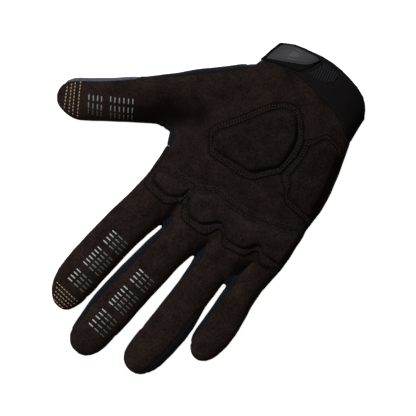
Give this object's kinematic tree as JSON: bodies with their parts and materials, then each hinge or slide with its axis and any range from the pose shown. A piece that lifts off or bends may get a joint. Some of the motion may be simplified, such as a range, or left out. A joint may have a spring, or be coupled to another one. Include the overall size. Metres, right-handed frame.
{
  "type": "cycling glove",
  "caption": "Full-finger cycling glove for the right hand, palm up, with a padded suede palm, knitted back, thumb wipe and a strap with a moulded pull tab.",
  "frame": {"origin": "on the flattened back, under the middle of the palm, in the plane that the glove lies on", "axes": "+Y from the cuff to the tip of the middle finger, +X to the thumb's side, +Z out of the palm"},
  "size_m": [0.177, 0.2301, 0.0342],
  "materials": {
    "suede": "dark brown microfibre suede, matt",
    "knit": "dark navy stretch knit",
    "strip": "dark navy fine knit",
    "terry": "light violet-grey towelling",
    "gore": "violet-grey knit",
    "cuff": "smooth near-black neoprene",
    "hook": "dark hook-and-loop tape",
    "rubber": "moulded dark grey rubber, satin"
  },
  "bodies": {
    "root": {"palm_panel": "suede", "back_panel": "knit", "fourchette_ring_little": "strip", "fourchette_middle_ring": "strip", "fourchette_index_middle": "strip", "thumb_web": "strip", "thumb_wipe": "terry", "cuff": "cuff", "wrist_gore": "gore", "thenar_pad": "suede", "heel_pad": "suede", "knuckle_pad": "suede", "index_pad": "suede", "closure_strap": "hook", "pull_tab": "rubber", "loop_patch": "hook"}
  },
  "joints": []
}
